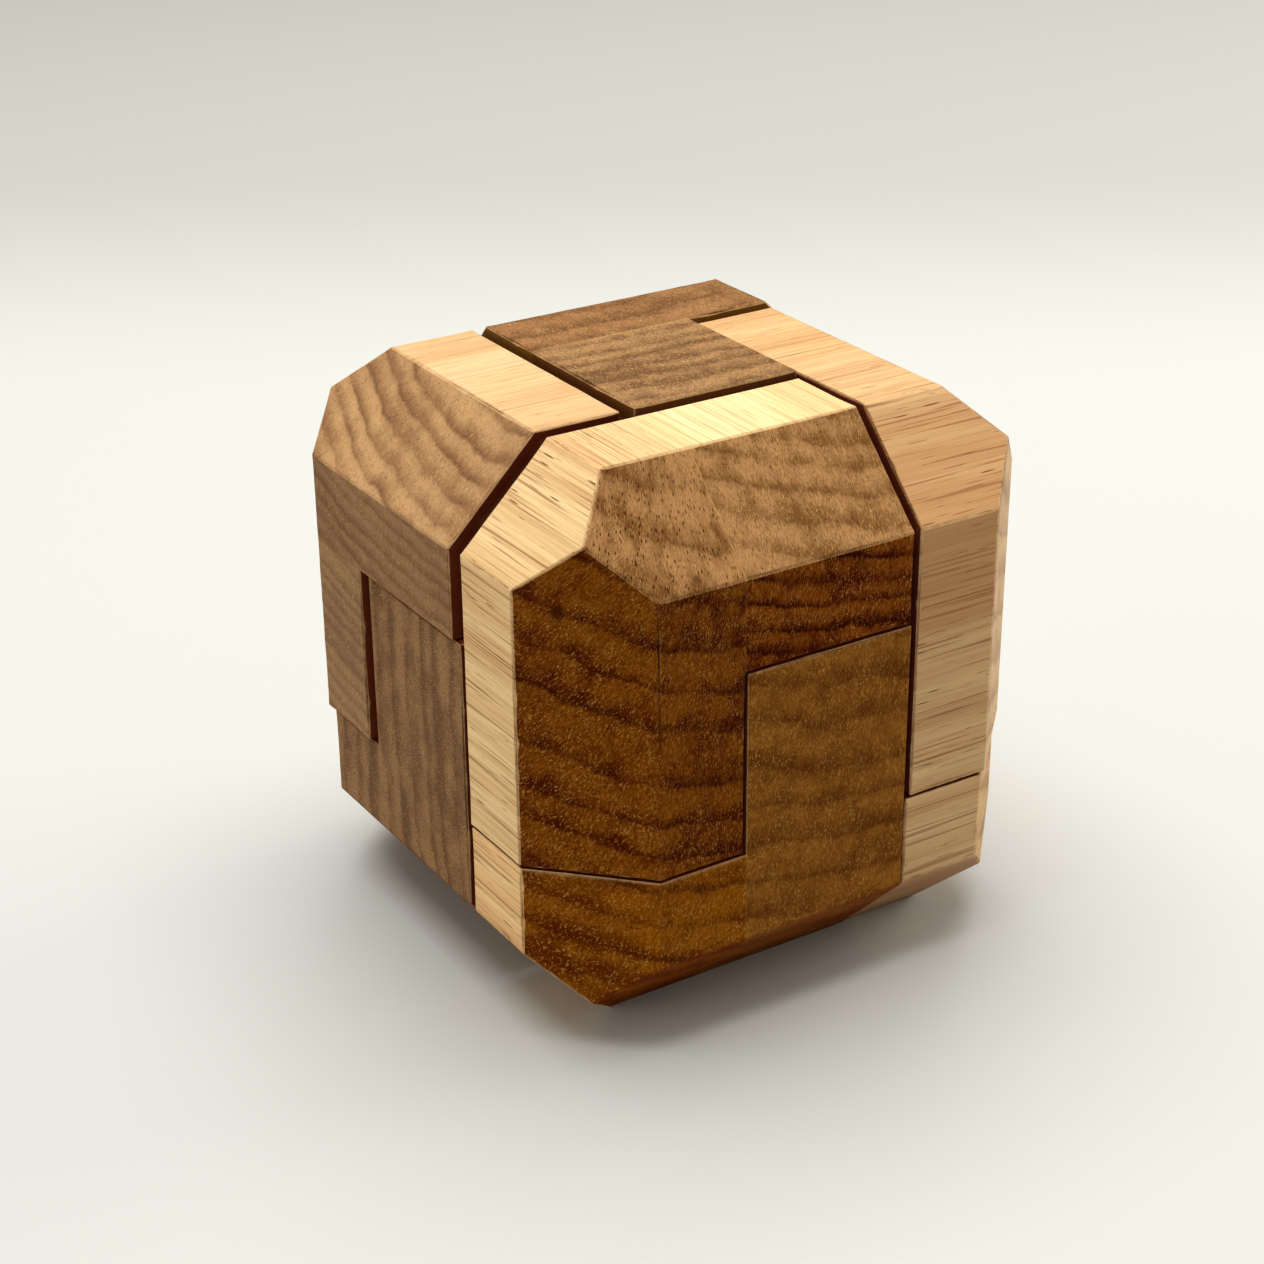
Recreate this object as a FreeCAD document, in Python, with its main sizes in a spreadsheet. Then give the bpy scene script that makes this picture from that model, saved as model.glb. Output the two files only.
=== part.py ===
import FreeCAD, Part
import os

# Wooden puzzle cube: nine loose L-shaped pieces fill a 3 x 3 x 3 grid of units and
# together make a cube whose twelve edges are bevelled at 45 degrees.
# Each piece is glued up from a two-unit bar and a one-unit cube.
# Frame: +Z up, +Y to the back, origin at the centre of the bottom face.

doc = FreeCAD.newDocument("puzzle_cube")

# ---- driving dimensions, in millimetres -------------------------------------------
sheet = doc.addObject("Spreadsheet::Sheet", "Sheet")
DIMENSIONS = [
    ("unit", 20.0),              # pitch of the grid, one unit
    ("bevel", 10.0),             # leg of the 45 degree bevel on every outer edge
    ("fit_gap", 0.3),            # sanding clearance between neighbouring pieces
    ("half_size", "=1.5 * unit"),
    ("full_size", "=3 * unit"),
    ("half_gap", "=fit_gap / 2"),
    ("diagonal_reach", "=full_size - bevel"),
    # how far each loose piece sits from its exact place in the grid
    ("front_upper_x", 0.0), ("front_upper_y", -0.3), ("front_upper_z", 0.0),
    ("left_upper_x", -0.3), ("left_upper_y", 1.3), ("left_upper_z", 0.0),
    ("right_upper_x", 0.6), ("right_upper_y", -0.2), ("right_upper_z", 0.0),
    ("top_x", 0.6), ("top_y", 0.5), ("top_z", 0.4),
    ("front_lower_x", 0.05), ("front_lower_y", -0.4), ("front_lower_z", 0.0),
    ("left_lower_x", 0.1), ("left_lower_y", 0.4), ("left_lower_z", 0.0),
    ("right_lower_x", 0.05), ("right_lower_y", -0.2), ("right_lower_z", 0.0),
    ("back_x", 0.3), ("back_y", 0.4), ("back_z", 0.0),
    ("core_x", 0.0), ("core_y", 0.0), ("core_z", 0.0),
]
for row, (alias, value) in enumerate(DIMENSIONS, start=1):
    sheet.set("A%d" % row, alias)
    sheet.set("B%d" % row, str(value))
    sheet.setAlias("B%d" % row, alias)
doc.recompute()

# ---- the nine pieces ---------------------------------------------------------------
# Cells count from the left (x), the front (y) and the bottom (z), each 0 to 2.
# The bar runs from its first cell to its second; the cube is glued to one side of it.
PIECES = {
    "front_upper": {"bar": ((0, 0, 1), (0, 0, 2)), "cube": (1, 0, 2)},
    "left_upper": {"bar": ((0, 1, 2), (0, 2, 2)), "cube": (0, 2, 1)},
    "right_upper": {"bar": ((2, 0, 1), (2, 0, 2)), "cube": (2, 1, 2)},
    "top": {"bar": ((1, 2, 2), (2, 2, 2)), "cube": (1, 1, 2)},
    "front_lower": {"bar": ((1, 0, 0), (1, 0, 1)), "cube": (0, 0, 0)},
    "left_lower": {"bar": ((0, 1, 0), (0, 1, 1)), "cube": (0, 2, 0)},
    "right_lower": {"bar": ((2, 1, 0), (2, 1, 1)), "cube": (2, 0, 0)},
    "back": {"bar": ((2, 2, 0), (2, 2, 1)), "cube": (1, 2, 0)},
    "core": {"bar": ((1, 1, 0), (1, 1, 1)), "cube": (1, 2, 1)},
}
AXES = ("x", "y", "z")
SIDES = ("Length", "Width", "Height")
# distance from the frame origin back to the low corner of the grid, per axis
GRID_START = ("-Sheet.half_size", "-Sheet.half_size", "0")


def box(name, sizes, corner, rotation=None):
    """A box whose three sizes and corner position follow the sheet."""
    solid = doc.addObject("Part::Box", name)
    if rotation is not None:
        solid.Placement.Rotation = rotation
    for side, size in zip(SIDES, sizes):
        solid.setExpression(side, size)
    for axis, value in zip(AXES, corner):
        solid.setExpression("Placement.Base." + axis, value)
    return solid


def bevelled_envelope():
    """The outer shape: a cube cut by three square prisms turned 45 degrees."""
    full = "Sheet.full_size"
    half = "Sheet.half_size"
    reach = "Sheet.diagonal_reach"
    side = "sqrt(2) * " + reach
    cube = box("outer_cube", (full, full, full), ("-" + half, "-" + half, "0"))
    about = [FreeCAD.Vector(1, 0, 0), FreeCAD.Vector(0, 1, 0), FreeCAD.Vector(0, 0, 1)]
    # corner of each turned prism, and its sizes (one side runs the cube's full length)
    prisms = [
        ("prism_along_x", (full, side, side), ("-" + half, "0", half + " - " + reach)),
        ("prism_along_y", (side, full, side), ("-" + reach, "-" + half, half)),
        ("prism_along_z", (side, side, full), ("0", "-" + reach, "0")),
    ]
    tools = [cube]
    for axis, (name, sizes, corner) in zip(about, prisms):
        tools.append(box(name, sizes, corner, FreeCAD.Rotation(axis, 45)))
    envelope = doc.addObject("Part::MultiCommon", "envelope")
    envelope.Shapes = tools
    return envelope


def span(axis, first, last, reach_low, reach_high):
    """Start and length of a block along one axis, as expressions.

    Faces inside the grid stand back by half the clearance; a face glued to the
    piece's own bar reaches forward by the same amount so that the two touch.
    """
    start = "%s + %d * Sheet.unit" % (GRID_START[axis], first)
    length = "%d * Sheet.unit" % (last - first + 1)
    low = 0
    if first > 0:
        low = -1 if reach_low else 1
    high = 0
    if last < 2:
        high = -1 if reach_high else 1
    start += " + %d * Sheet.half_gap" % low
    length += " - %d * Sheet.half_gap" % (low + high)
    return start, length


def block(label, piece, first, last, glued_to, envelope):
    """One glued-up block: its cells of the grid, cut to the bevelled outside."""
    starts = []
    lengths = []
    for axis in range(3):
        reach_low = glued_to is not None and glued_to[axis] < first[axis]
        reach_high = glued_to is not None and glued_to[axis] > last[axis]
        start, length = span(axis, first[axis], last[axis], reach_low, reach_high)
        starts.append(start)
        lengths.append(length)
    cells = box(label + "_cells", lengths, starts)
    result = doc.addObject("Part::Common", label)
    result.Label = label
    result.Base = cells
    result.Tool = envelope
    for axis in AXES:
        result.setExpression("Placement.Base." + axis, "Sheet.%s_%s" % (piece, axis))
    return result


envelope = bevelled_envelope()
nodes = []
for piece, cells in PIECES.items():
    first, last = cells["bar"]
    cube_cell = cells["cube"]
    # the bar cell that shares a face with the cube
    nearest = min((first, last), key=lambda c: sum(abs(c[n] - cube_cell[n]) for n in range(3)))
    nodes.append(block(piece + "_bar", piece, first, last, None, envelope))
    nodes.append(block(piece + "_cube", piece, cube_cell, cube_cell, nearest, envelope))
doc.recompute()

# ---- check and write ---------------------------------------------------------------
for obj in doc.Objects:
    if "Invalid" in obj.State or "Error" in obj.State:
        raise RuntimeError("%s failed: %s" % (obj.Name, obj.State))
for node in nodes:
    shape = node.Shape
    if shape.isNull() or not shape.isValid() or len(shape.Solids) != 1:
        raise RuntimeError("%s has a bad shape" % node.Label)

os.makedirs("parts", exist_ok=True)
for node in nodes:
    node.Shape.exportStep("parts/%s.step" % node.Label)
    bounds = node.Shape.BoundBox
    print("%-18s %7.2f %7.2f %7.2f .. %7.2f %7.2f %7.2f  faces %d" % (
        node.Label, bounds.XMin, bounds.YMin, bounds.ZMin,
        bounds.XMax, bounds.YMax, bounds.ZMax, len(node.Shape.Faces)))
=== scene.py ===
import math
import random
from types import SimpleNamespace

import bmesh
import bpy
from mathutils import Matrix, Vector, noise


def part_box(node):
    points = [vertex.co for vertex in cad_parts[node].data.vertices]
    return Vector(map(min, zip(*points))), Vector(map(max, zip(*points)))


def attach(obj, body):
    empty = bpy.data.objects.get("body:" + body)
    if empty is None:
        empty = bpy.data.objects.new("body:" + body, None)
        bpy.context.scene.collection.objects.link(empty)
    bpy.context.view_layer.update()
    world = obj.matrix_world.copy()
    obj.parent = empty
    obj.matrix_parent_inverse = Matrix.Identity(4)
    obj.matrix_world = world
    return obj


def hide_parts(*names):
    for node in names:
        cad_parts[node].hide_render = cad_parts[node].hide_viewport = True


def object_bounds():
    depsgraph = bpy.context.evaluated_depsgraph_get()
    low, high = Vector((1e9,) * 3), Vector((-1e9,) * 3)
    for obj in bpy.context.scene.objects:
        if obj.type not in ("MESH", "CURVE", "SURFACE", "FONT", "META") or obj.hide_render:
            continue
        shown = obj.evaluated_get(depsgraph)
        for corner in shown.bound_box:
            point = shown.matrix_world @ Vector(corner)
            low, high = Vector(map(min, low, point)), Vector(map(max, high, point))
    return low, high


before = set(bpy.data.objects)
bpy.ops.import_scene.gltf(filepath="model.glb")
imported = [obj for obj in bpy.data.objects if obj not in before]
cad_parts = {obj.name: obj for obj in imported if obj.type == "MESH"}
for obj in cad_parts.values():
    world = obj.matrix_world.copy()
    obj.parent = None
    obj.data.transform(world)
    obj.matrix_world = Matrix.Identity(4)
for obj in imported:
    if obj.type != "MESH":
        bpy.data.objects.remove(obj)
CAD_LOW, CAD_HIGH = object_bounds()

MM = 0.001
UNIT = 20.0 * MM               # side of one cell of the 3 x 3 x 3 grid
HALF_SIDE = 1.5 * UNIT
BEVEL_LEG = 0.5 * UNIT         # leg of the 45 degree bevel on the cube's outer edges
TOUCHING = 0.001 * MM          # two faces nearer than this touch
ON_PLANE = 0.0001 * MM         # a point nearer than this to a cut lies on it
SAME_PLANE = 0.01              # radians between two faces that are one flat face
AXES = "xyz"

# the nine pieces: grain axis, and which outer faces of the cube each one reaches
PIECES = {
    "front_upper": ("y", ("-x", "-y", "+z")),
    "left_upper": ("x", ("-x", "+y", "+z")),
    "right_upper": ("x", ("+x", "-y", "+z")),
    "top": ("z", ("+x", "+y", "+z")),
    "front_lower": ("y", ("-x", "-y", "-z")),
    "left_lower": ("x", ("-x", "+y", "-z")),
    "right_lower": ("x", ("+x", "-y", "-z")),
    "back": ("y", ("+x", "+y", "-z")),
    "core": ("x", ("+y", "-z")),
}

# the first word of a piece's name, and a material slot name for it; make_piece looks it up but
# gives it to no material
SLOTS = {
    "front": "wood_front",
    "left": "wood_side",
    "right": "wood_side",
    "top": "wood_top",
    "back": "wood_hidden",
    "core": "wood_hidden",
}


def axis_and_sign(face_name):
    """The axis number and direction of an outer face, such as "-x"."""
    return AXES.index(face_name[1]), 1 if face_name[0] == "+" else -1


# ================================ shape of a piece ================================
def grid_lines(values):
    """The values in order, with those that fall together kept once."""
    lines = []
    for value in sorted(values):
        if not lines or value - lines[-1] > 10 * TOUCHING:
            lines.append(value)
    return lines


def outline(rects):
    """Corner points of the L made by two touching rectangles, counter-clockwise."""
    us = grid_lines([corner[0] for rect in rects for corner in rect])
    vs = grid_lines([corner[1] for rect in rects for corner in rect])
    filled = set()
    for i in range(len(us) - 1):
        for j in range(len(vs) - 1):
            u = (us[i] + us[i + 1]) / 2
            v = (vs[j] + vs[j + 1]) / 2
            for low, high in rects:
                if low[0] < u < high[0] and low[1] < v < high[1]:
                    filled.add((i, j))
    steps = {}
    for i, j in filled:
        ring = [(i, j), (i + 1, j), (i + 1, j + 1), (i, j + 1)]
        beyond = [(i, j - 1), (i + 1, j), (i, j + 1), (i - 1, j)]
        for side in range(4):
            if beyond[side] not in filled:
                steps[ring[side]] = ring[(side + 1) % 4]
    path = [min(steps)]
    while steps[path[-1]] != path[0]:
        path.append(steps[path[-1]])
    corners = []
    for index, point in enumerate(path):
        before, after = path[index - 1], path[(index + 1) % len(path)]
        if before[0] == point[0] == after[0] or before[1] == point[1] == after[1]:
            continue
        corners.append((us[point[0]], vs[point[1]]))
    return corners


def l_prism(bar, cube, grain):
    """A mesh of the whole L: its outline drawn out along the grain."""
    u, v = [axis for axis in range(3) if axis != grain]
    rects = []
    for low, high in (bar, cube):
        rects.append(((low[u], low[v]), (high[u], high[v])))
    corners = outline(rects)
    bm = bmesh.new()
    rings = []
    for depth in (bar[0][grain], bar[1][grain]):
        ring = []
        for corner_u, corner_v in corners:
            co = [0.0, 0.0, 0.0]
            co[u], co[v], co[grain] = corner_u, corner_v, depth
            ring.append(bm.verts.new(co))
        rings.append(ring)
    near, far = rings
    count = len(corners)
    for here in range(count):
        ahead = (here + 1) % count
        bm.faces.new((near[here], near[ahead], far[ahead], far[here]))
    bm.faces.new(near)
    bm.faces.new(far)
    bmesh.ops.recalc_face_normals(bm, faces=bm.faces)
    return bm


def cut(bm, point, normal, drop_flat=False):
    """Cuts away what lies beyond the plane and closes the cut."""
    geom = list(bm.verts) + list(bm.edges) + list(bm.faces)
    bmesh.ops.bisect_plane(
        bm, geom=geom, dist=ON_PLANE, plane_co=point, plane_no=normal, clear_outer=True)
    if drop_flat:
        flat = []
        for face in bm.faces:
            if all(abs((vert.co - point).dot(normal)) < TOUCHING for vert in face.verts):
                flat.append(face)
        bmesh.ops.delete(bm, geom=flat, context="FACES")
    open_edges = [edge for edge in bm.edges if edge.is_boundary]
    if open_edges:
        bmesh.ops.holes_fill(bm, edges=open_edges, sides=0)
    bmesh.ops.recalc_face_normals(bm, faces=bm.faces)
    if bm.calc_volume(signed=True) < 0:
        bmesh.ops.reverse_faces(bm, faces=bm.faces)


def bevel_outer_edges(bm, low, high, reached):
    """The 45 degree bevels where two outer faces of the cube meet."""
    faces = []
    for face_name in reached:
        axis, sign = axis_and_sign(face_name)
        faces.append((axis, sign, (high if sign > 0 else low)[axis]))
    for index, (axis_a, sign_a, at_a) in enumerate(faces):
        for axis_b, sign_b, at_b in faces[index + 1:]:
            normal = Vector((0, 0, 0))
            normal[axis_a], normal[axis_b] = sign_a, sign_b
            point = Vector((0, 0, 0))
            point[axis_a], point[axis_b] = at_a - sign_a * BEVEL_LEG, at_b
            cut(bm, point, normal.normalized())


# ================================ rounded, slightly chipped edges ================================
ROUND = 0.16 * MM              # sanded radius of every sharp edge
EDGE_STEP = 0.9 * MM           # spacing of the points along an edge
SHORT_EDGE = 3 * EDGE_STEP     # an edge shorter than this is left whole
SHARP_ANGLE = 0.3              # radians between two faces that make an edge worth rounding
NICK_SPACING = 9 * MM          # there is at most about one nick for each such length
NICK_HALF_WIDTH = (0.4 * MM, 1.3 * MM)
NICK_DEPTH = (0.06 * MM, 0.24 * MM)
WANDER_DEPTH = 0.05 * MM       # how deep the sanding wanders on the average
WANDER_SCALE = 400             # waves per metre
MIDDLE_PUSH = 0.75             # the middle of a rounded edge goes in less than its sides


def round_edges(bm, rng):
    """Rounds every outward edge, and lets the rounding wander and chip a little."""
    rim = bm.faces.layers.float.new("rim")
    sharp = []
    for edge in bm.edges:
        if len(edge.link_faces) == 2 and edge.is_convex and edge.calc_face_angle() > SHARP_ANGLE:
            sharp.append(edge)
    made = bmesh.ops.bevel(
        bm, geom=sharp, offset=ROUND, segments=2, profile=0.5, affect="EDGES",
        clamp_overlap=True)
    strip = set(made["faces"])
    for face in strip:
        face[rim] = 1.0
    bm.edges.index_update()
    for rails in strip_rails(strip):
        chip_rails(bm, rails, strip, rng)


def strip_rails(strip):
    """Groups the long edges that run side by side along one rounded edge."""
    group = {}
    for face in strip:
        if len(face.verts) != 4:
            continue
        first, second = sorted(face.edges, key=lambda edge: -edge.calc_length())[:2]
        if second.calc_length() < SHORT_EDGE or set(first.verts) & set(second.verts):
            continue
        merged = group.get(first, {first}) | group.get(second, {second})
        for edge in merged:
            group[edge] = merged
    unique = {}
    for merged in group.values():
        unique[min(edge.index for edge in merged)] = merged
    rails = []
    for key in sorted(unique):
        rails.append(sorted(unique[key], key=lambda edge: edge.index))
    return rails


def ways_inward(rails, strip):
    """For each rail, the way into the wood: along its flat face, or between the two faces."""
    both = Vector((0, 0, 0))
    for rail in rails:
        for face in rail.link_faces:
            if face not in strip:
                both -= face.normal
    inward = {}
    for rail in rails:
        flat = [face for face in rail.link_faces if face not in strip]
        if flat:
            across = both - flat[0].normal * both.dot(flat[0].normal)
            inward[rail] = across.normalized() if across.length > 1e-6 else across
        else:
            inward[rail] = both.normalized() * MIDDLE_PUSH
    return inward


def chip_rails(bm, rails, strip, rng):
    """Cuts the rails into short lengths, then pushes their points into the wood by a little."""
    length = rails[0].calc_length()
    start = rails[0].verts[0].co.copy()
    along = (rails[0].verts[1].co - start).normalized()
    inward = ways_inward(rails, strip)
    count = max(2, int(length / EDGE_STEP))
    nicks = []
    for _ in range(rng.randint(0, int(length / NICK_SPACING) + 1)):
        centre = rng.uniform(0.05, 0.95) * length
        half_width = rng.uniform(*NICK_HALF_WIDTH)
        nicks.append((centre, half_width, rng.uniform(*NICK_DEPTH)))
    phase = rng.uniform(0, 100)
    for rail in rails:
        push = inward[rail]
        ends = set(rail.verts)
        done = bmesh.ops.subdivide_edges(bm, edges=[rail], cuts=count, use_grid_fill=False)
        for vert in done["geom_inner"]:
            if not isinstance(vert, bmesh.types.BMVert) or vert in ends:
                continue
            at = (vert.co - start).dot(along)
            depth = WANDER_DEPTH * (1 + noise.noise((at * WANDER_SCALE, phase, 0.3)))
            for centre, half_width, deep in nicks:
                depth += deep * max(0.0, 1 - abs(at - centre) / half_width)
            vert.co += push * depth


def glue_plane(bar, cube):
    """The side of the bar that the cube stands against: its axis, place and direction."""
    for axis in range(3):
        if abs(bar[1][axis] - cube[0][axis]) < TOUCHING:
            return axis, bar[1][axis], 1
        if abs(bar[0][axis] - cube[1][axis]) < TOUCHING:
            return axis, bar[0][axis], -1
    raise ValueError("the bar and the cube do not touch")


def make_block_pair(name, grain, reached):
    """The bar and cube meshes of one piece, as one L cut along its glue line."""
    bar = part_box(name + "_bar")
    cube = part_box(name + "_cube")
    low = [min(bar[0][axis], cube[0][axis]) for axis in range(3)]
    high = [max(bar[1][axis], cube[1][axis]) for axis in range(3)]
    whole = l_prism(bar, cube, grain)
    bevel_outer_edges(whole, low, high, reached)
    bmesh.ops.dissolve_limit(
        whole, angle_limit=SAME_PLANE, verts=whole.verts, edges=whole.edges)
    round_edges(whole, random.Random(name))
    axis, plane, toward_cube = glue_plane(bar, cube)
    point = Vector((0, 0, 0))
    point[axis] = plane
    normal = Vector((0, 0, 0))
    normal[axis] = toward_cube
    meshes = []
    for part, facing in (("bar", 1), ("cube", -1)):
        bm = whole.copy()
        cut(bm, point, normal * facing, drop_flat=(part == "cube"))
        meshes.append((part, bm))
    whole.free()
    return meshes, (axis, plane / MM)


# ================================ how each block looks ================================
# Colours are screen values from 0 to 255, as pairs of a light and a dark tone.
PALE = ((232, 196, 148), (206, 162, 112))
FRONT_PALE = ((250, 216, 160), (228, 182, 126))
BROWN = ((160, 112, 66), (108, 70, 38))
# cut ends of the right pieces: brown wood lightened by a painted grazing reflection
RIGHT_END_PAINTED_SHEEN = ((206, 172, 130), (168, 130, 92))
INSIDE_SHADE = (124, 74, 34)         # painted shade: a darker tone for the faces between the pieces
SEAM_SHADE = (98, 20, 0)             # painted shade: the same faces, darker still near the seams

STREAK = (190, 142, 94)        # along the grain, from broad streaks to single vessels
FIBRE = (168, 122, 76)
HAIR = (150, 100, 56)
SMALL_VESSEL = (146, 96, 52)
VESSEL = (116, 66, 30)
STAINED_BAND = (172, 108, 52)
GOLD = (232, 184, 100)         # across the grain, the bright specks and the dark holes
BLACKENED = (30, 6, 1)
HOLE = (34, 12, 3)
PINHOLE = (44, 16, 4)
WORN = (226, 186, 134)         # rubbed edges

# what holds for a block unless its own look says otherwise
PLAIN_LOOK = dict(
    pale=PALE,                 # faces along the grain
    up=BROWN,                  # cut ends that look upwards
    upright=BROWN,             # the other cut ends
    start=0.0,                 # distance of the first ring from the pith, mm
    line=0.5,                  # strength of the dark line at each ring's edge
    up_line=0.5,               # the same on cut ends that look upwards, as a share of line
    comb=0.5,                  # how ragged the rings are
    streaks=0.7,               # strength of the streaks and dashes along the grain
    pores=0.25,                # strength of the pinholes on cut ends
    shade=1.0,                 # painted shade: brightness of upright faces along the grain
    zones=(),                  # stained bands along the grain: lowest and highest z, strength
    knots=(),                  # x, y, z and radius, mm
    gloss=0.03,
    # colour of the painted shade in the seams and on faces that look down
    seam=SEAM_SHADE,
)

# pith: where the centre of the rings lies, in mm, across the grain. pitch: ring spacing, mm.
# the lighter up tone against the darker upright tones below is painted light and shade
LEFT_UPPER = dict(
    pith=(-9.0, 153.0), pitch=2.0, up=((194, 153, 106), (150, 108, 74)), streaks=0.5, comb=0.15)
LEFT_LOWER = dict(
    pitch=3.4, upright=((150, 113, 77), (104, 73, 48)), line=0.25, streaks=0.5)
LOOKS = {
    # the up tones lighter than the upright tones are painted light and shade
    "front_upper_bar": dict(
        pith=(-4.6, 84.0), pitch=4.5, start=0.9, up=((182, 134, 86), (118, 76, 38)),
        upright=((128, 69, 6), (72, 17, 0)), pale=((240, 209, 157), (219, 178, 126)),
        line=0.7, streaks=1.0, comb=0.8, pores=0.9, gloss=0.01,
        knots=((-26.7, -23.3, 48.1, 1.0), (-15.2, -29.3, 50.8, 0.5),
               (-18.4, -29.4, 50.7, 0.3), (-16.3, -26.1, 54.0, 0.3))),
    "front_upper_cube": dict(
        pith=(25.0, 160.0), pitch=2.3, start=0.4, up=((180, 134, 86), (126, 84, 44)),
        upright=((128, 65, 6), (70, 12, 0)), pale=((248, 220, 166), (232, 194, 138)),
        line=1.15, up_line=0.35, streaks=0.45, comb=0.8, pores=0.3, gloss=0.01),
    "left_upper_bar": dict(
        LEFT_UPPER, upright=((152, 114, 80), (124, 90, 62)), line=0.4, up_line=1.9),
    "left_upper_cube": dict(
        LEFT_UPPER, upright=((158, 122, 86), (128, 96, 68)), line=0.25, up_line=2.0),
    "right_upper_bar": dict(
        pith=(20.0, 120.0), pitch=4.0, upright=RIGHT_END_PAINTED_SHEEN, pale=((232, 192, 138), (206, 160, 106)),
        streaks=1.05, shade=0.88, zones=((38.5, 50.2, 0.52), (50.2, 59.3, 0.34)), gloss=0.2),
    "right_upper_cube": dict(
        pith=(30.0, 110.0), pitch=3.6, start=1.0, upright=RIGHT_END_PAINTED_SHEEN,
        pale=((232, 192, 140), (208, 162, 110))),
    "top_bar": dict(
        pith=(0.0, 130.0), pitch=5.0, up=((156, 112, 72), (110, 74, 44)), line=0.3,
        streaks=0.5, seam=(120, 76, 8)),
    "top_cube": dict(
        pith=(12.0, 130.0), pitch=2.9, up=((164, 124, 83), (108, 76, 48)), line=0.2,
        streaks=0.5, seam=(100, 50, 4)),
    "front_lower_bar": dict(
        pith=(22.0, 140.0), pitch=4.4, start=0.2, upright=((146, 93, 32), (102, 55, 12)),
        pale=FRONT_PALE, line=0.25, streaks=0.6, gloss=0.01),
    "front_lower_cube": dict(
        pith=(10.0, 120.0), pitch=4.0, start=1.5, upright=((146, 84, 8), (90, 35, 0)),
        pale=FRONT_PALE, line=0.6, streaks=0.8, gloss=0.01),
    "left_lower_bar": dict(LEFT_LOWER, pith=(-140.0, 30.0)),
    "left_lower_cube": dict(LEFT_LOWER, pith=(-120.0, 10.0)),
    "right_lower_bar": dict(pith=(-10.0, 110.0), pitch=4.0, upright=RIGHT_END_PAINTED_SHEEN, streaks=0.8),
    "right_lower_cube": dict(
        pith=(25.0, 90.0), pitch=3.8, upright=RIGHT_END_PAINTED_SHEEN, streaks=0.8, shade=0.9),
    "back_bar": dict(pith=(60.0, 80.0), pitch=4.2),
    "back_cube": dict(pith=(20.0, -90.0), pitch=3.8),
    "core_bar": dict(pith=(60.0, 80.0), pitch=4.2),
    "core_cube": dict(pith=(20.0, 90.0), pitch=3.8),
}


# ================================ the wood material ================================
def srgb(colour):
    """A colour given as screen values, as the linear colour that a shader takes."""
    linear = []
    for value in colour:
        share = value / 255
        linear.append(share / 12.92 if share <= 0.04045 else ((share + 0.055) / 1.055) ** 2.4)
    return (*linear, 1.0)


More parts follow.
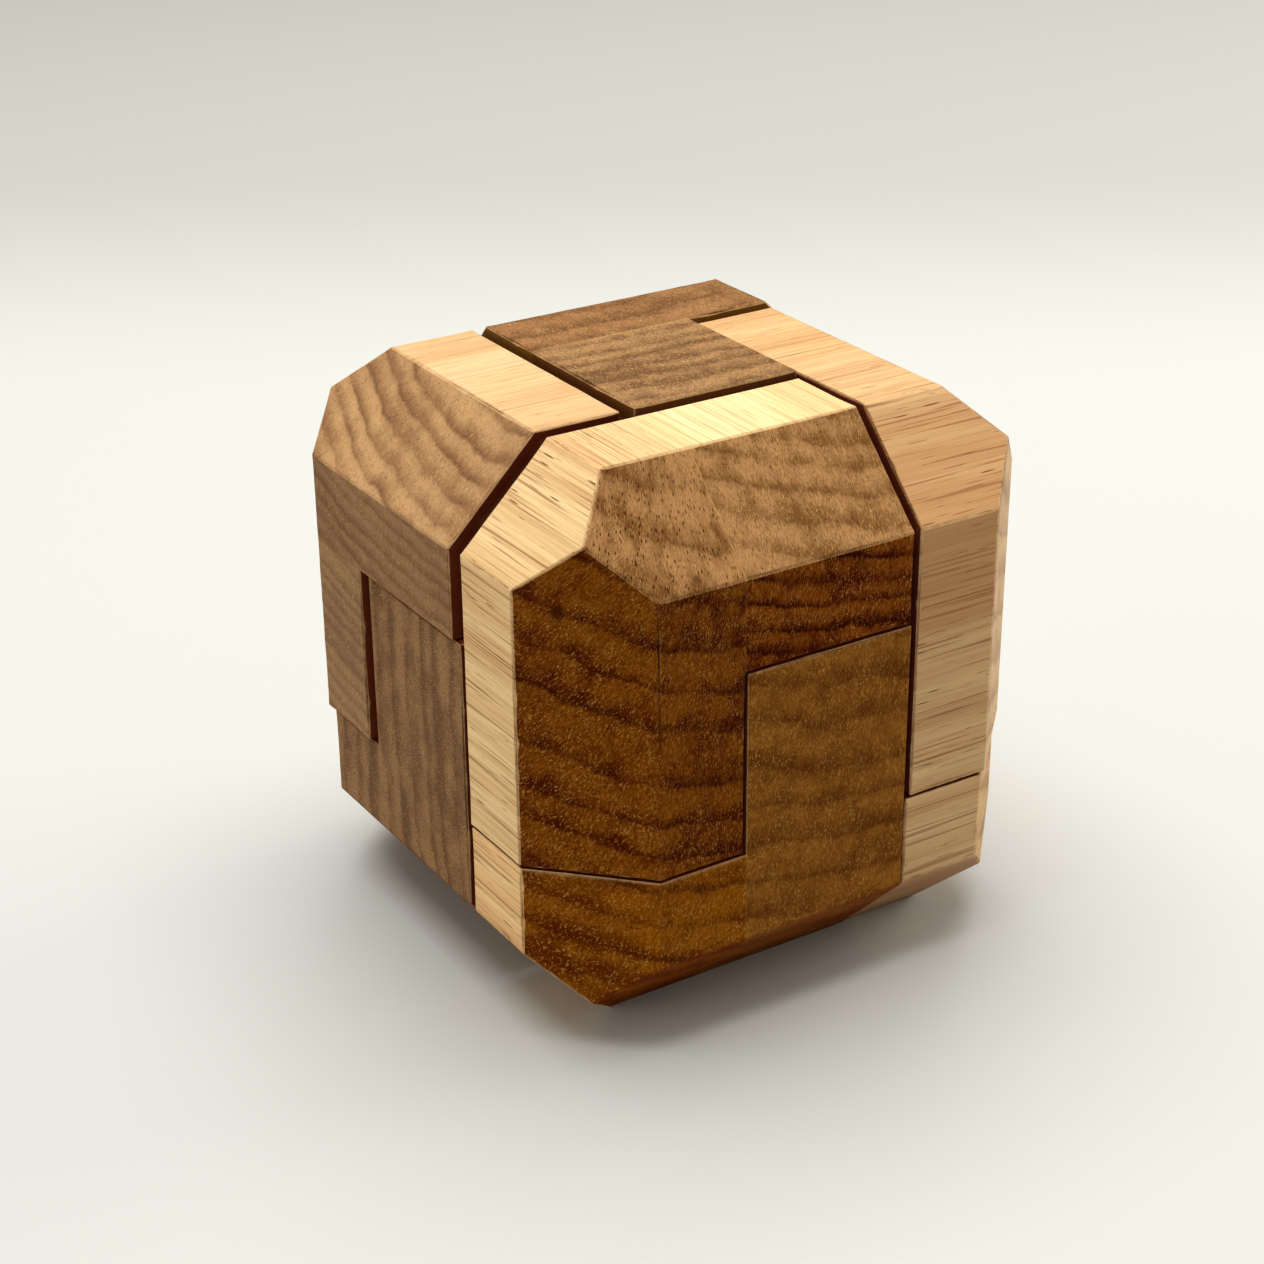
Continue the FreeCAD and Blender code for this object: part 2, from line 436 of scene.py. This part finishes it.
class Nodes:
    """Short hand for building a node tree: each call adds a node and gives its output."""

    def __init__(self, tree):
        self.tree = tree
        tree.nodes.clear()

    def new(self, kind, **settings):
        node = self.tree.nodes.new(kind)
        for key, value in settings.items():
            setattr(node, key, value)
        return node

    def put(self, socket, value):
        if isinstance(value, bpy.types.NodeSocket):
            self.tree.links.new(value, socket)
        else:
            socket.default_value = value

    def math(self, operation, a, b=0.0, clamp=False):
        node = self.new("ShaderNodeMath", operation=operation, use_clamp=clamp)
        self.put(node.inputs[0], a)
        self.put(node.inputs[1], b)
        return node.outputs[0]

    def add(self, a, b):
        return self.math("ADD", a, b)

    def minus(self, a, b):
        return self.math("SUBTRACT", a, b)

    def times(self, a, b):
        return self.math("MULTIPLY", a, b)

    def wave(self, noise_value, amount):
        """Noise from 0 to 1 as a wave about nothing."""
        return self.times(self.minus(noise_value, 0.5), amount)

    def vector(self, operation, a, b):
        node = self.new("ShaderNodeVectorMath", operation=operation)
        self.put(node.inputs[0], a)
        self.put(node.inputs[1], b)
        return node.outputs[0]

    def scaled(self, vector, scale):
        node = self.new("ShaderNodeVectorMath", operation="SCALE")
        self.put(node.inputs[0], vector)
        self.put(node.inputs["Scale"], scale)
        return node.outputs[0]

    def length(self, vector):
        node = self.new("ShaderNodeVectorMath", operation="LENGTH")
        self.put(node.inputs[0], vector)
        return node.outputs["Value"]

    def split(self, vector):
        node = self.new("ShaderNodeSeparateXYZ")
        self.put(node.inputs[0], vector)
        return node.outputs

    def combine(self, x, y, z):
        node = self.new("ShaderNodeCombineXYZ")
        for socket, value in zip(node.inputs, (x, y, z)):
            self.put(socket, value)
        return node.outputs[0]

    def channels(self, colour):
        node = self.new("ShaderNodeSeparateColor")
        self.put(node.inputs[0], colour)
        return node.outputs

    def attribute(self, name):
        return self.new("ShaderNodeAttribute", attribute_name=name).outputs["Fac"]

    def noise(self, vector, detail=2.0, rough=0.5):
        node = self.new("ShaderNodeTexNoise")
        self.put(node.inputs["Vector"], vector)
        self.put(node.inputs["Scale"], 1.0)
        self.put(node.inputs["Detail"], detail)
        self.put(node.inputs["Roughness"], rough)
        return node.outputs[0]

    def cells(self, vector):
        """Distance to the nearest of many scattered points, and that point's own colour."""
        node = self.new("ShaderNodeTexVoronoi", feature="F1")
        self.put(node.inputs["Vector"], vector)
        self.put(node.inputs["Scale"], 1.0)
        return node.outputs["Distance"], node.outputs["Color"]

    def span(self, value, low, high, to_low=0.0, to_high=1.0, smooth=True):
        """Takes low..high to to_low..to_high, and stays inside them."""
        node = self.new("ShaderNodeMapRange")
        node.interpolation_type = "SMOOTHSTEP" if smooth else "LINEAR"
        for socket, item in zip(node.inputs, (value, low, high, to_low, to_high)):
            self.put(socket, item)
        return node.outputs[0]

    def choose(self, flag, when_off, when_on):
        """One number where the flag is 0, the other where it is 1."""
        return self.span(flag, 0.0, 1.0, when_off, when_on, smooth=False)

    def mix(self, factor, a, b):
        node = self.new("ShaderNodeMix", data_type="RGBA")
        self.put(node.inputs["Factor"], factor)
        self.put(node.inputs["A"], a)
        self.put(node.inputs["B"], b)
        return node.outputs["Result"]

    def paint(self, colour, layers):
        """Lays tints over a colour in turn: each layer is a mask, its strength and a tint."""
        for mask, strength, tint in layers:
            colour = self.mix(self.times(mask, strength), colour, tint)
        return colour

    def ramp(self, factor, stops):
        node = self.new("ShaderNodeValToRGB")
        ramp = node.color_ramp
        while len(ramp.elements) < len(stops):
            ramp.elements.new(0.5)
        for element, (at, value) in zip(ramp.elements, stops):
            element.position = at
            element.color = (value, value, value, 1)
        self.put(node.inputs[0], factor)
        return node.outputs[0]


class Grain:
    """Where a point lies in the wood: out from the pith, round a ring and along the grain."""

    SEED_STEP = 17.3           # moves each block to a place of its own in the noise

    def __init__(self, n, axis, look, seed):
        self.n = n
        place = n.new("ShaderNodeTexCoord").outputs["Object"]
        self.millimetres = n.scaled(place, 1 / MM)
        self.xyz = n.split(self.millimetres)
        run_axis, level_axis = [other for other in range(3) if other != axis]
        run = n.minus(self.xyz[run_axis], look.pith[0])
        level = n.minus(self.xyz[level_axis], look.pith[1])
        self.out = n.math("SQRT", n.add(n.times(run, run), n.times(level, level)))
        round_ring = n.times(n.math("ARCTAN2", run, level), math.hypot(*look.pith))
        shift = self.SEED_STEP * seed
        self.space = n.combine(
            n.add(self.out, shift), n.add(round_ring, shift * 0.7),
            n.add(self.xyz[axis], shift * 1.3))

    def stretched(self, out, round_ring, along):
        return self.n.vector("MULTIPLY", self.space, (out, round_ring, along))

    def noise(self, out, round_ring, along, **settings):
        """Noise with so many waves per millimetre in each of the three directions."""
        return self.n.noise(self.stretched(out, round_ring, along), **settings)

    def tubes(self, across, along):
        """Long cells, so many per millimetre across and along the grain."""
        return self.n.cells(self.stretched(across, across, along))


# In the functions below, "wood" holds the patterns that more than one of them uses. A noise
# call gives its waves per millimetre out from the pith, round the rings and along the grain.
# A span call turns such a pattern into a mask, between two levels of it.
def add_rings(n, grain, look, wood):
    """Growth rings: a slow change of tone in each, and a dark line at its edge."""
    uneven = grain.noise(0.15, 0.012, 0.004, detail=1.0)
    sway = grain.noise(0.08, 0.14, 0.012)
    combed = grain.noise(0.7, 5.5, 0.3, detail=1.0)
    wood.ragged = grain.noise(0.5, 1.2, 0.05, rough=0.6)
    waves = (
        (uneven, 3.4),
        (sway, 2.4 * min(1.0, look.pitch / 3)),
        (wood.ragged, 0.9 * look.comb),
        (combed, 0.8 * look.comb),
    )
    out = grain.out
    for noise_value, amount in waves:
        out = n.add(out, n.wave(noise_value, amount))
    spare_rings = 400          # keeps the distance positive
    out = n.add(out, spare_rings * look.pitch - look.start)
    phase = n.math("FRACT", n.math("DIVIDE", out, look.pitch))
    wood.band = n.ramp(
        phase, [(0.0, 0.60), (0.10, 0.30), (0.40, 0.15), (0.75, 0.45), (1.0, 0.60)])
    wide = min(0.5, 0.34 / look.pitch)
    line = n.ramp(
        phase, [(0.0, 1.0), (wide * 0.5, 0.75), (wide, 0.0), (1 - 2 * wide, 0.0),
                (1 - wide * 0.6, 0.6), (1.0, 1.0)])
    wood.patchy = n.span(grain.noise(0.22, 0.06, 0.01), 0.40, 0.60, 0.05, 1.0)
    dotted = n.span(grain.noise(1.5, 4.0, 0.3), 0.30, 0.55, 0.30, 1.0)
    line = n.math("MULTIPLY", n.times(line, dotted), n.times(wood.patchy, look.line), clamp=True)
    wood.line = n.times(line, n.choose(wood.looks_up, 1.0, look.up_line))


def add_vessels(n, grain, look, wood):
    """Long thin tubes: holes on a cut end, dashes along the grain."""
    gap, tint = grain.tubes(2.2, 0.17)
    own = n.channels(tint)
    radius = n.span(own[0], 0.30, 1.0, 0.0, 0.21, smooth=False)
    wood.vessel = n.span(n.minus(gap, radius), -0.06, 0.03, 1.0, 0.0)
    wood.hole = n.times(wood.vessel, n.span(own[1], 0.55, 0.62))
    gap, tint = grain.tubes(3.3, 0.16)
    radius = n.span(n.channels(tint)[1], 0.2, 1.0, 0.0, 0.27, smooth=False)
    wood.small_vessel = n.span(n.minus(gap, radius), -0.06, 0.06, 1.0, 0.0)
    gap, tint = grain.tubes(1.6, 0.10)
    pinhole = n.times(n.span(gap, 0.20, 0.32, 1.0, 0.0), n.span(n.channels(tint)[0], 0.42, 0.50))
    wood.pinhole = n.times(pinhole, n.choose(wood.looks_up, 0.3 * look.pores, look.pores))


def along_colour(n, grain, look, wood):
    """Faces along the grain: pale, with streaks, fibres and vessels cut lengthways."""
    tone = n.add(n.times(wood.band, 0.45), n.times(wood.tone, 0.8))
    light, dark = srgb(look.pale[0]), srgb(look.pale[1])
    colour = n.mix(n.span(tone, 0.3, 0.9), light, dark)
    streak = grain.noise(1.3, 1.3, 0.025, detail=3.0, rough=0.6)
    hair = grain.noise(3.0, 3.0, 0.05, detail=1.0)
    layers = [
        (n.span(streak, 0.42, 0.70), 0.30 * look.streaks + 0.15, srgb(STREAK)),
        (n.span(wood.fibre, 0.45, 0.72), 0.30 * look.streaks + 0.1, srgb(FIBRE)),
        (n.span(hair, 0.57, 0.68), 0.75 * look.streaks, srgb(HAIR)),
        (wood.small_vessel, 0.65 * look.streaks, srgb(SMALL_VESSEL)),
        (wood.vessel, 0.95 * look.streaks, srgb(VESSEL)),
    ]
    soft = 0.6                 # mm over which a stained band fades in
    z = grain.xyz[2]
    for low, high, strength in look.zones:
        band = n.times(n.span(z, low - soft, low + soft),
                       n.span(z, high - soft, high + soft, 1.0, 0.0))
        layers.append((band, strength, srgb(STAINED_BAND)))
    colour = n.paint(colour, layers)
    # painted shade: upright faces along the grain are scaled darker on some pieces
    return n.scaled(colour, n.choose(wood.looks_up, look.shade, 1.0))


def across_colour(n, grain, look, wood, glue):
    """Cut ends: dark, speckled, with ring lines, holes, the glue line and knots."""
    # cut ends that look up take the up tones, the others the upright tones; on the front and left
    # upper pieces the lighter up tones are painted light and the darker upright tones painted
    # shade
    light = n.mix(wood.looks_up, srgb(look.upright[0]), srgb(look.up[0]))
    dark = n.mix(wood.looks_up, srgb(look.upright[1]), srgb(look.up[1]))
    bright = n.mix(0.40, light, srgb(GOLD))
    deep = n.mix(0.55, dark, srgb(BLACKENED))
    blotch = grain.noise(0.45, 0.35, 0.08, detail=3.0, rough=0.6)
    tone = n.add(n.times(wood.band, 0.55), n.times(wood.tone, 0.75))
    tone = n.add(tone, n.wave(blotch, 0.3 + 0.8 * look.comb))
    colour = n.mix(n.span(tone, 0.34, 0.82), light, dark)

    stroke = grain.noise(1.6, 5.5, 0.8, rough=0.6)
    stroke_strength = 0.2 + 0.5 * look.comb
    clumps = n.span(grain.noise(0.30, 0.22, 0.05), 0.35, 0.65, 0.35, 1.0)
    colour = n.paint(colour, [
        (n.span(stroke, 0.48, 0.34), stroke_strength, dark),
        (n.span(stroke, 0.58, 0.70), stroke_strength, bright),
        (n.span(wood.grit, 0.46, 0.34), 0.50, deep),
        (n.span(wood.grit, 0.57, 0.68), clumps, bright),
    ])
    colour = n.mix(wood.line, colour, deep)
    colour = n.mix(n.times(wood.hole, 0.85), colour, srgb(HOLE))
    colour = n.mix(wood.pinhole, colour, srgb(PINHOLE))

    glue_axis, glue_at = glue
    off = n.math("ABSOLUTE", n.minus(grain.xyz[glue_axis], glue_at))
    glued = n.span(n.add(off, n.times(wood.ragged, 0.06)), 0.06, 0.16, 1.0, 0.0)
    glued = n.times(glued, n.span(wood.patchy, 0.0, 1.0, 0.25, 0.55))
    colour = n.mix(n.times(glued, n.choose(wood.looks_up, 0.25, 1.0)), colour, bright)

    for x, y, z, radius in look.knots:
        off = n.length(n.vector("SUBTRACT", grain.millimetres, (x, y, z)))
        knot = n.span(n.add(off, n.times(wood.ragged, 0.5)),
                      radius * 0.5, radius * 1.3 + 0.25, 0.85, 0.0)
        colour = n.mix(knot, colour, deep)
    return colour


def depth_below_surface(n, xyz):
    """Millimetres from a point to the nearest outer face or bevel of the whole cube."""
    half = HALF_SIDE / MM
    leg = BEVEL_LEG / MM
    x = n.math("ABSOLUTE", xyz[0])
    y = n.math("ABSOLUTE", xyz[1])
    z = n.math("ABSOLUTE", n.minus(xyz[2], half))
    nearest = n.minus(half, n.math("MAXIMUM", x, n.math("MAXIMUM", y, z)))
    for a, b in ((x, y), (x, z), (y, z)):
        bevel = n.times(n.minus(2 * half - leg, n.add(a, b)), math.sqrt(0.5))
        nearest = n.math("MINIMUM", nearest, bevel)
    return nearest


def painted_shade_and_wear(n, grain, look, wood, colour):
    """Painted shade on the faces between the pieces, darkest near the seams, painted shade on
    faces that look down, and rubbed edges.
    """
    inside = n.attribute("inside")
    below = n.attribute("below")
    rim = n.attribute("rim")
    depth = n.add(depth_below_surface(n, grain.xyz), n.wave(wood.tone, 2.4))
    # painted shade in the gaps: faces between the pieces are darkened, most within about 1 to 3 mm
    # of the outer surface
    painted_seam_mask = n.times(inside, n.span(depth, 1.0, 3.2, 0.93, 0.0))
    colour = n.mix(n.times(inside, 0.35), colour, srgb(INSIDE_SHADE))
    colour = n.mix(painted_seam_mask, colour, srgb(look.seam))
    # painted shade under the cube: faces that look down are darkened towards the seam shade colour
    colour = n.mix(n.times(below, 0.45), colour, srgb(look.seam))
    rubbed = n.times(rim, n.span(grain.noise(0.8, 0.8, 0.8, detail=3.0), 0.42, 0.60))
    wear = n.minus(0.55, n.times(wood.endness, 0.52))
    return n.mix(n.times(rubbed, wear), colour, srgb(WORN))


def relief(n, wood):
    """Sunken vessels, raised fibres and the grit of the cut ends."""
    height = n.add(n.times(wood.vessel, -1.0), n.times(wood.fibre, 0.5))
    height = n.minus(height, n.times(wood.small_vessel, 0.4))
    height = n.add(height, n.times(wood.grit, n.times(wood.endness, 0.8)))
    bump = n.new("ShaderNodeBump")
    n.put(bump.inputs["Strength"], 0.7)
    n.put(bump.inputs["Distance"], 0.07 * MM)
    n.put(bump.inputs["Height"], height)
    return bump.outputs[0]


def wood_material(node_name, axis, seed, glue):
    """Coarse-pored hardwood: pale along the grain, dark where it is cut across."""
    look = SimpleNamespace(**{**PLAIN_LOOK, **LOOKS[node_name]})
    material = bpy.data.materials.new("wood_" + node_name)
    material.use_nodes = True
    n = Nodes(material.node_tree)
    grain = Grain(n, axis, look, seed)
    wood = SimpleNamespace()
    wood.looks_up = n.attribute("looks_up")
    wood.endness = n.span(n.attribute("cut_end"), 0.15, 0.65)
    wood.tone = grain.noise(0.16, 0.05, 0.01, detail=3.0, rough=0.55)
    wood.fibre = grain.noise(4.5, 4.5, 0.09, detail=3.0, rough=0.65)
    wood.grit = grain.noise(3.6, 4.8, 1.2, rough=0.7)
    add_rings(n, grain, look, wood)
    add_vessels(n, grain, look, wood)
    along = along_colour(n, grain, look, wood)
    across = across_colour(n, grain, look, wood, glue)
    colour = n.mix(wood.endness, along, across)

    shader = n.new("ShaderNodeBsdfPrincipled")
    n.put(shader.inputs["Base Color"], painted_shade_and_wear(n, grain, look, wood, colour))
    uneven = n.add(n.times(wood.fibre, 0.15), n.times(wood.endness, 0.08))
    n.put(shader.inputs["Roughness"], n.add(uneven, 0.48))
    n.put(shader.inputs["Normal"], relief(n, wood))
    shader.inputs["Specular IOR Level"].default_value = look.gloss
    output = n.new("ShaderNodeOutputMaterial")
    n.put(output.inputs[0], shader.outputs[0])
    return material


# ================================ build the pieces ================================
UPWARD = 0.3                   # a face whose normal rises more than this looks up
OUTWARD = 0.25                 # a face this much turned to an outer side belongs to it


def on_outside(face, reached):
    """True for a face on the outside of the cube, on one of its bevels or on their edges."""
    for face_name in reached:
        axis, sign = axis_and_sign(face_name)
        if face.normal[axis] * sign < OUTWARD:
            continue
        limit = (CAD_HIGH if sign > 0 else CAD_LOW)[axis]
        if abs(face.calc_center_median()[axis] - limit) < BEVEL_LEG + 2 * MM:
            return True
    return False


def mark_faces(bm, grain, reached):
    """Tells the material which faces are cut ends, look up or down, or lie inside."""
    cut_end = bm.faces.layers.float.new("cut_end")
    looks_up = bm.faces.layers.float.new("looks_up")
    inside = bm.faces.layers.float.new("inside")
    # faces that look down, for the painted shade on the underside
    below = bm.faces.layers.float.new("below")
    for face in bm.faces:
        face[cut_end] = abs(face.normal[grain])
        face[looks_up] = 1.0 if face.normal.z > UPWARD else 0.0
        face[below] = 1.0 if face.normal.z < -UPWARD else 0.0
        face[inside] = 0.0 if on_outside(face, reached) else 1.0
        face.smooth = False


def make_piece(number, name):
    """One L: its bar and cube replace the CAD solids and ride on their body."""
    grain_name, reached = PIECES[name]
    grain = AXES.index(grain_name)
    meshes, glue = make_block_pair(name, grain, reached)
    for part, bm in meshes:
        node = name + "_" + part
        mesh = bpy.data.meshes.new(node + "_wood")
        bm.normal_update()
        mark_faces(bm, grain, reached)
        bm.to_mesh(mesh)
        bm.free()
        block = bpy.data.objects.new(node + "_wood", mesh)
        bpy.context.scene.collection.objects.link(block)
        seed = 2 * number + ("bar", "cube").index(part)
        block.data.materials.append(wood_material(node, grain, seed, glue))
        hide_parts(node)
        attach(block, name)
        SLOTS[name.split("_")[0]]


# ================================ floor, lights, camera ================================
# the greyer far floor colour is painted shade standing in for a dimmer backdrop
FLOOR_NEAR = (0.592, 0.608, 0.595, 1)
FLOOR_FAR_SHADED = (0.455, 0.465, 0.445, 1)
BACKWARD = (0.533, 0.846)      # the way across the floor from the near corner to the far one
FLOOR_SHADE_FADE = (0.15, 0.30)      # metres behind the cube over which the floor turns greyer, as painted shade
CENTRE = (0, 0, HALF_SIDE)


def make_floor():
    """A pale sheet, a little greyer beyond the object as painted shade."""
    bpy.ops.mesh.primitive_plane_add(size=8.0, location=(0, 0, 0))
    floor = bpy.context.object
    floor.name = "floor"
    material = bpy.data.materials.new("floor")
    material.use_nodes = True
    n = Nodes(material.node_tree)
    xyz = n.split(n.new("ShaderNodeTexCoord").outputs["Object"])
    behind = n.add(n.times(xyz[0], BACKWARD[0]), n.times(xyz[1], BACKWARD[1]))
    shader = n.new("ShaderNodeBsdfPrincipled")
    n.put(shader.inputs["Base Color"], n.mix(n.span(behind, *FLOOR_SHADE_FADE), FLOOR_NEAR, FLOOR_FAR_SHADED))
    n.put(shader.inputs["Roughness"], 0.6)
    shader.inputs["Specular IOR Level"].default_value = 0.25
    output = n.new("ShaderNodeOutputMaterial")
    n.put(output.inputs[0], shader.outputs[0])
    floor.data.materials.append(material)


def area_light(name, location, size, power, colour):
    """A rectangular light that faces the cube's centre."""
    data = bpy.data.lights.new(name, "AREA")
    data.shape = "RECTANGLE"
    data.size, data.size_y = size
    data.energy = power
    data.color = colour
    light = bpy.data.objects.new(name, data)
    light.location = location
    direction = Vector(CENTRE) - Vector(location)
    light.rotation_mode = "QUATERNION"
    light.rotation_quaternion = direction.to_track_quat("-Z", "Y")
    bpy.context.scene.collection.objects.link(light)


def make_world(colour, strength):
    """Even light from all round."""
    world = bpy.data.worlds.new("studio")
    world.use_nodes = True
    background = world.node_tree.nodes["Background"]
    background.inputs[0].default_value = colour
    background.inputs[1].default_value = strength
    bpy.context.scene.world = world


# Angles are in degrees. aside, above and distance place the camera from the cube's centre, in
# half sides of the cube. The focal length is in picture widths.
CAMERA = dict(azimuth=-32.101, elevation=25.636, roll=-0.563, distance=9.167,
              focal=2.006962, aside=-0.1109, above=-0.0104)
SENSOR_WIDTH = 36.0            # millimetres


def make_camera():
    """Looks at the near corner from above, level but for a small roll."""
    azimuth = math.radians(-CAMERA["azimuth"])
    elevation = math.radians(CAMERA["elevation"])
    roll = math.radians(CAMERA["roll"])
    back = Vector((-math.sin(azimuth) * math.cos(elevation),
                   -math.cos(azimuth) * math.cos(elevation), math.sin(elevation)))
    level_right = Vector((math.cos(azimuth), -math.sin(azimuth), 0))
    level_up = back.cross(level_right)
    right = level_right * math.cos(roll) + level_up * math.sin(roll)
    up = level_up * math.cos(roll) - level_right * math.sin(roll)
    offset = right * CAMERA["aside"] + up * CAMERA["above"] + back * CAMERA["distance"]
    matrix = Matrix((right, up, back)).transposed().to_4x4()
    matrix.translation = Vector(CENTRE) + offset * HALF_SIDE
    data = bpy.data.cameras.new("camera")
    data.sensor_width = SENSOR_WIDTH
    data.lens = CAMERA["focal"] * SENSOR_WIDTH
    data.clip_start = 0.01
    camera = bpy.data.objects.new("camera", data)
    camera.matrix_world = matrix
    bpy.context.scene.collection.objects.link(camera)
    bpy.context.scene.camera = camera


for number, name in enumerate(PIECES):
    make_piece(number, name)
make_floor()
make_world((1.0, 0.935, 0.81, 1), 0.335)
area_light("overhead", (0.03, 0.17, 0.80), (0.9, 0.8), 9.5, (1.0, 0.99, 0.965))
area_light("left_fill", (-0.8, 0.15, 0.20), (0.5, 0.3), 1.1, (1.0, 0.95, 0.87))
area_light("right_fill", (0.8, -0.05, 0.25), (0.5, 0.3), 4.0, (1.0, 0.94, 0.84))
make_camera()
bpy.context.scene.view_settings.view_transform = "Standard"
